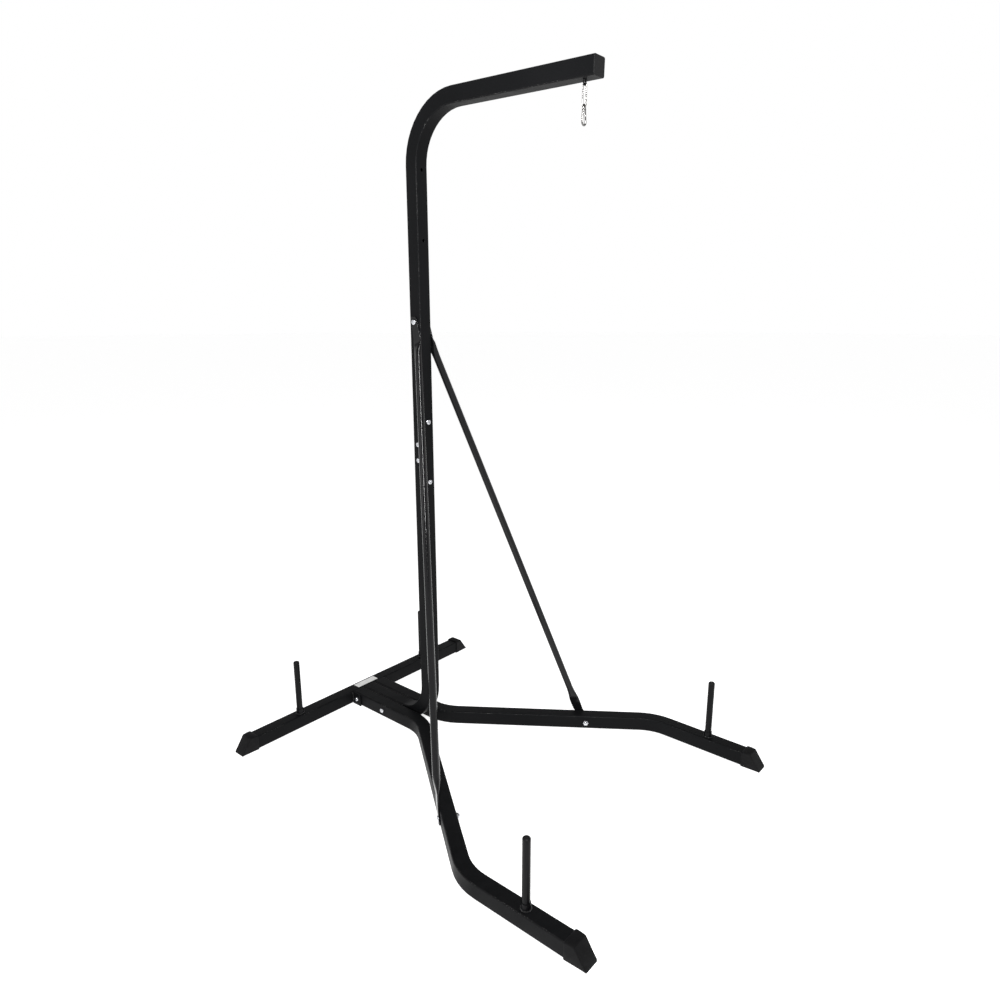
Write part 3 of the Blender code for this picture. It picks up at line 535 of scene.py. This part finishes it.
def make_cap(node, heading):
    """Rubber end cap: rolled lip, crowned top, slanted nose, pocket for the tube."""
    low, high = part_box(node)
    along = Vector((math.cos(heading), math.sin(heading), 0))
    across = Vector((-along.y, along.x, 0))
    size = high - low
    length = abs(size.dot(Vector((abs(along.x), abs(along.y), 0))))
    root_half = size.dot(Vector((abs(across.x), abs(across.y), 0))) / 2
    centre = (low + high) / 2
    root = centre - along * length / 2
    root.z = low.z
    top = high.z
    toe_half = root_half - 0.0030
    outer = [length - 0.0001, length - 0.0008, length - 0.0024, length - 0.006]
    outer += [length * share for share in (0.84, 0.76, 0.68, 0.60, 0.53, 0.48, 0.455)]
    outer += [length * share for share in (0.44, 0.42, 0.39, 0.34, 0.28, 0.22, 0.16, 0.10, 0.05, 0.02)]
    outlines = []
    for u in outer:
        half, height, corner = cap_outline(u, length, root_half, toe_half, top)
        nose = max(0.0, u - (length - 0.0024)) / 0.0024
        half -= 0.0022 * nose
        height -= 0.0016 * nose
        outlines.append((u, half, 0.0, height, corner))
    half, height, corner = cap_outline(0.0, length, root_half, toe_half, top)
    for u, inset in ((0.0004, 0.0004), (0.0, 0.0010), (0.0, 0.0020), (0.0012, 0.0026)):
        outlines.append((u, half - inset, 0.0, height - inset, corner))
    pocket_half = TUBE_HALF + CAP_CLEARANCE
    pocket_low = FLOOR_TUBE_TOP - 2 * TUBE_HALF - CAP_CLEARANCE
    pocket_high = FLOOR_TUBE_TOP + CAP_CLEARANCE
    for u in (0.0020, CAP_TUBE_DEPTH):
        outlines.append((u, pocket_half, pocket_low, pocket_high, 0.0048))
    builder = bmesh.new()
    rings = []
    for u, half, bottom, height, corner in outlines:
        middle = (bottom + height) / 2
        outline = rounded_rectangle(half, (height - bottom) / 2, corner)
        rings.append([
            builder.verts.new(root + along * u + across * x + Vector((0, 0, z + middle)))
            for x, z in outline
        ])
    skin(builder, rings)
    cap = make_piece(node + "_moulded", builder, "rubber", "frame", 28)
    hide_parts(node)


# ---------------------------------------------------------------- fasteners
def node_points(node):
    """Vertices of a CAD node at rest."""
    return [vertex.co.copy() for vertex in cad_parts[node].data.vertices]


def fastener_frame(bolt, nut):
    """Matrices at the head's seat and the nut's seat, both pointing outward."""
    bolt_low, bolt_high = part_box(bolt)
    nut_low, nut_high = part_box(nut)
    nut_middle = (nut_low + nut_high) / 2
    bolt_middle = (bolt_low + bolt_high) / 2
    outward = bolt_middle - nut_middle
    outward.z = 0.0
    outward.normalize()
    points = [point.dot(outward) for point in node_points(bolt)]
    nut_points = [point.dot(outward) for point in node_points(nut)]
    line = nut_middle - outward * nut_middle.dot(outward)
    head_top = line + outward * max(points)
    nut_seat = line + outward * max(nut_points)
    turn = outward.to_track_quat("Z", "Y").to_matrix().to_4x4()
    back = (-outward).to_track_quat("Z", "Y").to_matrix().to_4x4()
    return Matrix.Translation(head_top) @ turn, Matrix.Translation(nut_seat) @ back


def make_button_bolt(bolt, head, nut_seat):
    """Button-head bolt with a hexagon socket."""
    sides = FASTENER_SIDES
    flange = -BOLT_HEAD_HEIGHT
    radius = BOLT_HEAD_RADIUS
    grip = (head.translation - nut_seat.translation).length
    profile = [(0.0042, -grip - 0.0080), (BOLT_RADIUS, -grip - 0.0072), (BOLT_RADIUS, flange)]
    profile += [(radius - 0.0003, flange), (radius, flange + 0.0003), (radius, flange + 0.0011)]
    crown = 0.0046
    for step in range(1, 9):
        angle = math.pi / 2 * step / 8
        reach = crown + (radius - crown) * math.cos(angle)
        profile.append((reach, flange + 0.0011 + (BOLT_HEAD_HEIGHT - 0.0012) * math.sin(angle)))
    outlines = [(circle(reach, sides), height) for reach, height in profile]
    socket = ((0.0062, -0.0004), (0.0060, -0.0034), (0.0036, -0.0040))
    outlines += [(hexagon(flats, sides), height) for flats, height in socket]
    builder = bmesh.new()
    skin(builder, turned_rings(builder, head, outlines))
    piece = make_piece(bolt + "_button", builder, "zinc", "frame", 32)
    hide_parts(bolt)


def make_cap_nut(nut, nut_seat):
    """Domed cap nut, bored for its bolt."""
    sides = FASTENER_SIDES
    half = NUT_FLATS / 2
    bore = ((0.0052, 0.0080), (0.0052, 0.0004), (0.0056, 0.0), (half - 0.0002, 0.0))
    outlines = [(circle(reach, sides), height) for reach, height in bore]
    outlines += [(hexagon(NUT_FLATS, sides), height) for height in (0.0007, 0.0066)]
    outlines.append((circle(half - 0.0001, sides), 0.0074))
    for step in range(9):
        angle = math.pi / 2 * step / 8
        reach = 0.0012 + (half - 0.0022) * math.cos(angle)
        outlines.append((circle(reach, sides), 0.0076 + 0.0058 * math.sin(angle)))
    builder = bmesh.new()
    skin(builder, turned_rings(builder, nut_seat, outlines))
    piece = make_piece(nut + "_domed", builder, "zinc", "frame", 30)
    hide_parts(nut)


def make_bolt(label):
    """A bolt with its nut."""
    bolt = label + "_bolt"
    nut = label + "_nut"
    head, nut_seat = fastener_frame(bolt, nut)
    make_button_bolt(bolt, head, nut_seat)
    make_cap_nut(nut, nut_seat)


# ---------------------------------------------------------------- hanging hardware
def make_eye():
    """Welded eye under the arm, with a fillet at each foot."""
    low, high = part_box("hanging_eye")
    wire = (high.y - low.y) / 2
    bend = (high.x - low.x) / 2 - wire
    centre = Vector(((low.x + high.x) / 2, (low.y + high.y) / 2, low.z + wire + bend))
    across = Vector((1, 0, 0))
    upward = Vector((0, 0, 1))
    points = [Vector((centre.x - bend, centre.y, high.z + 0.0002))]
    points += arc(centre, bend, math.pi, math.pi, 20, across, upward)
    points.append(Vector((centre.x + bend, centre.y, high.z + 0.0002)))
    builder = bmesh.new()
    rod(builder, points, Vector((0, 1, 0)), wire)
    eye = make_piece("hanging_eye_rod", builder, "upright_coat", "frame")
    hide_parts("hanging_eye")
    builder = bmesh.new()
    for side in (-1, 1):
        foot = Vector((centre.x + side * bend, centre.y, high.z + 0.0006))
        loop = arc(foot, wire * 0.86, 0, 2 * math.pi, 9, across, Vector((0, 1, 0)))
        bead(builder, loop, 0.0013, f"eye{side}")
    make_piece("hanging_eye_weld", builder, "weld", "frame")


def make_link():
    """Long welded link with the upset of its butt weld on one side."""
    low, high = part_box("hanging_link")
    wire = (high.x - low.x) / 2
    bend = (high.y - low.y) / 2 - wire
    middle = (low + high) / 2
    across = Vector((0, 1, 0))
    upward = Vector((0, 0, 1))
    top = Vector((middle.x, middle.y, high.z - wire - bend))
    bottom = Vector((middle.x, middle.y, low.z + wire + bend))
    points = arc(top, bend, 0, math.pi, 18, across, upward)
    taper = [1.0] * len(points)
    seam = (top + bottom) / 2 - across * bend
    for offset, swell in ((0.003, 1.0), (0.0015, 1.02), (0.0008, 1.12), (0, 1.16), (-0.0008, 1.12),
                          (-0.0015, 1.02), (-0.003, 1.0)):
        points.append(seam + upward * offset)
        taper.append(swell)
    points += arc(bottom, bend, math.pi, math.pi, 18, across, upward)
    taper += [1.0] * 19
    builder = bmesh.new()
    rod(builder, points, Vector((1, 0, 0)), wire, closed=True, taper=taper)
    link = make_piece("hanging_link_welded", builder, "nickel", "link")
    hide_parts("hanging_link")


def hook_sizes():
    """Wire radius, bends, centres and flare of the snap hook, from its CAD box."""
    low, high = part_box("snap_hook_body")
    wire = (high.y - low.y) / 2
    lower_bend = (high.x - low.x) / 2 - wire
    upper_bend = lower_bend - HOOK_BEND_STEP
    middle = (low + high) / 2
    upper = Vector((middle.x, middle.y, high.z - wire - upper_bend))
    lower = Vector((middle.x, middle.y, low.z + wire + lower_bend))
    flare = math.asin((lower_bend - upper_bend) / (upper - lower).length)
    return wire, upper_bend, lower_bend, upper, lower, flare


def gate_line():
    """Ends of the straight run on the gate's side, top first."""
    _, upper_bend, lower_bend, upper, lower, flare = hook_sizes()
    outward = Vector((math.cos(flare), 0, math.sin(flare)))
    return upper + outward * upper_bend, lower + outward * lower_bend


def make_hook():
    """Snap hook body: bent rod, flattened shoulder and hooked nose."""
    wire, upper_bend, lower_bend, upper, lower, flare = hook_sizes()
    start, end = gate_line()
    down = (end - start).normalized()
    across = Vector((1, 0, 0))
    upward = Vector((0, 0, 1))
    points = [start + down * 0.0022, start + down * 0.0016, start + down * 0.0008]
    taper = [0.72, 0.94, 1.0]
    bend = arc(upper, upper_bend, flare, math.pi - 2 * flare, 18, across, upward)
    points += bend
    taper += [1.0] * len(bend)
    bend = arc(lower, lower_bend, math.pi - flare, math.pi + 2 * flare, 24, across, upward)
    points += bend
    taper += [1.0] * len(bend)
    points += [end - down * 0.0020, end - down * 0.0034, end - down * 0.0040]
    taper += [1.0, 0.94, 0.72]
    builder = bmesh.new()
    rod(builder, points, Vector((0, 1, 0)), wire, taper=taper)
    side = Vector((0, 1, 0))
    flat = down.cross(side)
    pivot = start + down * GATE_PIVOT_DOWN
    outline = [(-TONGUE_RADIUS, -0.0042)]
    for step in range(13):
        angle = math.pi - math.pi * step / 12
        outline.append((TONGUE_RADIUS * math.cos(angle), TONGUE_RADIUS * math.sin(angle)))
    outline.append((TONGUE_RADIUS, -0.0042))
    rings = []
    for y in (-0.0009, 0.0009):
        rings.append([builder.verts.new(pivot + side * y + flat * x + down * z) for x, z in outline])
    skin(builder, rings)
    hook = make_piece("snap_hook_rod", builder, "nickel", "hook", 40)
    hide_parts("snap_hook_body")


def make_gate():
    """Gate of the snap hook: two cheeks over the tongue, then a turned rod."""
    start, end = gate_line()
    down = (end - start).normalized()
    side = Vector((0, 1, 0))
    flat = down.cross(side)
    pivot = start + down * GATE_PIVOT_DOWN
    length = (end - start).length - 0.0105
    radius = GATE_RADIUS
    turn = Matrix((flat, side, down)).transposed().to_4x4()
    matrix = Matrix.Translation(pivot) @ turn
    builder = bmesh.new()
    outlines = [(circle(radius * 0.80, TURNED_SIDES), 0.0027), (circle(radius, TURNED_SIDES), 0.0032)]
    for share, size in ((0.30, 1.0), (0.32, 0.93), (0.36, 0.93), (0.38, 1.0), (0.965, 1.0), (1.0, 0.80)):
        outlines.append((circle(radius * size, TURNED_SIDES), length * share))
    skin(builder, turned_rings(builder, matrix, outlines))
    for sign in (-1, 1):
        rings = []
        for y in (0.00130, 0.00215):
            reach = math.sqrt(radius ** 2 - y ** 2)
            outline = [(-reach, 0.0030)]
            for step in range(13):
                angle = math.pi + math.pi * step / 12
                outline.append((reach * math.cos(angle), reach * math.sin(angle)))
            outline.append((reach, 0.0030))
            rings.append([
                builder.verts.new(pivot + side * sign * y + flat * x + down * z) for x, z in outline
            ])
        skin(builder, rings)
    gate = make_piece("snap_hook_gate_turned", builder, "nickel", "gate", 40)
    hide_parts("snap_hook_gate")


def make_gate_rivet():
    """Rivet with two domed heads through the gate's cheeks."""
    low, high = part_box("gate_pin")
    middle = (low + high) / 2
    half = (high.y - low.y) / 2
    matrix = Matrix.Translation(middle) @ Matrix.Rotation(-math.pi / 2, 4, "X")
    sides = 20
    head = [(0.0005, half), (0.0010, half - 0.00008), (0.0014, half - 0.0004)]
    head += [(0.0014, half - 0.0005), (0.0008, half - 0.0005)]
    outlines = [(circle(radius, sides), -height) for radius, height in head]
    outlines += [(circle(radius, sides), height) for radius, height in reversed(head)]
    builder = bmesh.new()
    skin(builder, turned_rings(builder, matrix, outlines))
    rivet = make_piece("gate_rivet", builder, "nickel", "hook", 30)
    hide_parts("gate_pin")


# ---------------------------------------------------------------- small details
def make_ear_welds():
    """Weld beads where the ears meet the crossbar's front face."""
    for label in ("left", "right"):
        low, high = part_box("crossbar_ear_" + label)
        outer = low.x if label == "left" else high.x
        builder = bmesh.new()
        steps = 16
        points = []
        for step in range(steps + 1):
            z = low.z + 0.004 + (high.z - low.z - 0.006) * step / steps
            points.append(Vector((outer, high.y, z)))
        bead(builder, points, 0.0022, "ear" + label)
        make_piece(f"crossbar_ear_{label}_weld", builder, "weld", "frame")


def make_label():
    """Blank label on top of the crossbar, beside the mast foot."""
    low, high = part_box("rear_crossbar")
    middle = Vector((0.003, (low.y + high.y) / 2, high.z))
    builder = bmesh.new()
    outline = rounded_rectangle(0.053, 0.0165, 0.002)
    rings = []
    for height, inset in ((0.00002, 0.0), (0.00018, 0.0), (0.00024, 0.0002)):
        rings.append([
            builder.verts.new(middle + Vector((x * (1 - inset), y * (1 - inset), height)))
            for x, y in outline
        ])
    skin(builder, rings)
    make_piece("blank_label", builder, "vinyl", "frame")


# ---------------------------------------------------------------- stage
def make_stage():
    """Plain white floor that glows, out to the horizon."""
    builder = bmesh.new()
    bmesh.ops.create_circle(builder, cap_ends=True, radius=60.0, segments=64)
    mesh = bpy.data.meshes.new("floor")
    builder.to_mesh(mesh)
    builder.free()
    floor = bpy.data.objects.new("floor", mesh)
    floor.location.z = cad_low.z - 0.0002
    bpy.context.scene.collection.objects.link(floor)
    material, _, shader = new_material("pale_floor")
    shader.inputs["Base Color"].default_value = (0.80, 0.80, 0.80, 1.0)
    shader.inputs["Roughness"].default_value = 1.0
    shader.inputs["Specular IOR Level"].default_value = 0.0
    shader.inputs["Emission Color"].default_value = (1.0, 1.0, 1.0, 1.0)
    shader.inputs["Emission Strength"].default_value = FLOOR_GLOW
    mesh.materials.append(material)


def soft_light(name, place, aim, size, power):
    """A rectangular soft box: size is (width, height)."""
    data = bpy.data.lights.new(name, "AREA")
    data.shape = "RECTANGLE"
    data.size, data.size_y = size
    data.energy = power
    light = bpy.data.objects.new(name, data)
    light.location = place
    light.rotation_mode = "QUATERNION"
    light.rotation_quaternion = (Vector(aim) - Vector(place)).to_track_quat("-Z", "Y")
    bpy.context.scene.collection.objects.link(light)


def make_light():
    """A studio that is white at eye level and dark overhead, and three soft boxes."""
    world = bpy.data.worlds.new("studio")
    bpy.context.scene.world = world
    world.use_nodes = True
    tree = world.node_tree
    upward = split_place(tree, "Generated")["Z"]
    shade = ramp(tree, upward, (0.335, 1.0), (0.38, 0.16), (1.0, 0.10))
    tree.links.new(shade, tree.nodes["Background"].inputs["Color"])
    tree.nodes["Background"].inputs["Strength"].default_value = 1.0
    soft_light("overhead", (-0.6, -0.8, 4.2), (0, 0, 0.6), (1.4, 1.4), 30)
    soft_light("left", (-3.6, 1.2, 2.6), (0, 0.3, 0.9), (1.0, 1.6), 16)
    soft_light("strip", (-1.92, -1.60, 2.90), (-0.05, 0.3, 1.3), (0.18, 1.4), 90)
    bpy.context.scene.view_settings.view_transform = "Standard"


def make_camera():
    """Camera at the reference viewpoint."""
    data = bpy.data.cameras.new("camera")
    data.sensor_width = 36.0
    data.lens = CAMERA_LENS
    data.shift_x = CAMERA_SHIFT_X
    data.shift_y = CAMERA_SHIFT_Y
    data.clip_end = 200.0
    camera = bpy.data.objects.new("camera", data)
    level = math.cos(CAMERA_PITCH)
    forward = Vector((
        math.cos(CAMERA_HEADING) * level,
        math.sin(CAMERA_HEADING) * level,
        -math.sin(CAMERA_PITCH),
    ))
    camera.location = CAMERA_PLACE
    camera.rotation_mode = "QUATERNION"
    roll = Quaternion((0, 0, 1), CAMERA_ROLL)
    camera.rotation_quaternion = forward.to_track_quat("-Z", "Y") @ roll
    bpy.context.scene.collection.objects.link(camera)
    bpy.context.scene.camera = camera


# ---------------------------------------------------------------- build
make_camera()
make_light()
make_stage()
dress_frame()
for corner in ("front", "rear"):
    for hand in ("left", "right"):
        make_peg_tip(f"{corner}_peg_{hand}_tip")
        make_peg_weld(corner, hand)
make_cap("leg_cap_left", -math.pi / 2)
make_cap("leg_cap_right", -math.pi / 2)
make_cap("crossbar_cap_left", math.pi)
make_cap("crossbar_cap_right", 0.0)
for fastener in (
    "joint_front_upper", "joint_front_lower", "joint_side_upper", "joint_side_lower",
    "brace_top", "brace_foot_left", "brace_foot_right", "base_middle", "base_rear",
):
    make_bolt(fastener)
make_eye()
make_link()
make_hook()
make_gate()
make_gate_rivet()
make_ear_welds()
make_label()
